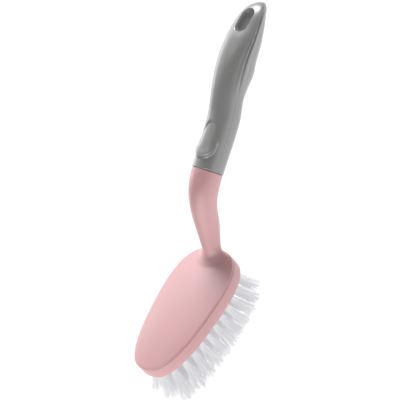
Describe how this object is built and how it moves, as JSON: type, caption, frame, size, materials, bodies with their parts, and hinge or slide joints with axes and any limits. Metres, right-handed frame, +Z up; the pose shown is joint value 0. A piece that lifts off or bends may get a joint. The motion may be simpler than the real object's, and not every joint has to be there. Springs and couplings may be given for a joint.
{
  "type": "scrub brush",
  "caption": "Hand scrub brush: an egg-shaped tufted head, a cranked neck, and a contoured grip with a thumb rest, a finger stop and a slot to hang it by.",
  "frame": {"origin": "middle of the centre tuft's tip, on the plane that the bristle tips stand on", "axes": "+Z up, away from the bristle tips; +X from the head's front end towards the handle; +Y to the left of someone who looks along +X"},
  "size_m": [0.285, 0.0666, 0.1446],
  "materials": {
    "pink_plastic": "satin moulded",
    "block_plastic": "satin moulded",
    "grey_plastic": "satin moulded",
    "white_nylon": "translucent filament"
  },
  "bodies": {
    "root": {"head_and_neck": "pink_plastic", "bristle_block": "block_plastic", "handle_grip": "grey_plastic", "tuft_01_1": "white_nylon", "tuft_01_2": "white_nylon", "tuft_01_3": "white_nylon", "tuft_02_1": "white_nylon", "tuft_02_2": "white_nylon", "tuft_02_3": "white_nylon", "tuft_02_4": "white_nylon", "tuft_03_1": "white_nylon", "tuft_03_2": "white_nylon", "tuft_03_3": "white_nylon", "tuft_03_4": "white_nylon", "tuft_03_5": "white_nylon", "tuft_04_1": "white_nylon", "tuft_04_2": "white_nylon", "tuft_04_3": "white_nylon", "tuft_04_4": "white_nylon", "tuft_04_5": "white_nylon", "tuft_05_1": "white_nylon", "tuft_05_2": "white_nylon", "tuft_05_3": "white_nylon", "tuft_05_4": "white_nylon", "tuft_05_5": "white_nylon", "tuft_05_6": "white_nylon", "tuft_06_1": "white_nylon", "tuft_06_2": "white_nylon", "tuft_06_3": "white_nylon", "tuft_06_4": "white_nylon", "tuft_06_5": "white_nylon", "tuft_07_1": "white_nylon", "tuft_07_2": "white_nylon", "tuft_07_3": "white_nylon", "tuft_07_4": "white_nylon", "tuft_07_5": "white_nylon", "tuft_07_6": "white_nylon", "tuft_08_1": "white_nylon", "tuft_08_2": "white_nylon", "tuft_08_3": "white_nylon", "tuft_08_4": "white_nylon", "tuft_08_5": "white_nylon", "tuft_08_6": "white_nylon", "tuft_09_1": "white_nylon", "tuft_09_2": "white_nylon", "tuft_09_3": "white_nylon", "tuft_09_4": "white_nylon", "tuft_09_5": "white_nylon", "tuft_09_6": "white_nylon", "tuft_10_1": "white_nylon", "tuft_10_2": "white_nylon", "tuft_10_3": "white_nylon", "tuft_10_4": "white_nylon", "tuft_10_5": "white_nylon", "tuft_11_1": "white_nylon", "tuft_11_2": "white_nylon", "tuft_11_3": "white_nylon", "tuft_11_4": "white_nylon"}
  },
  "joints": []
}
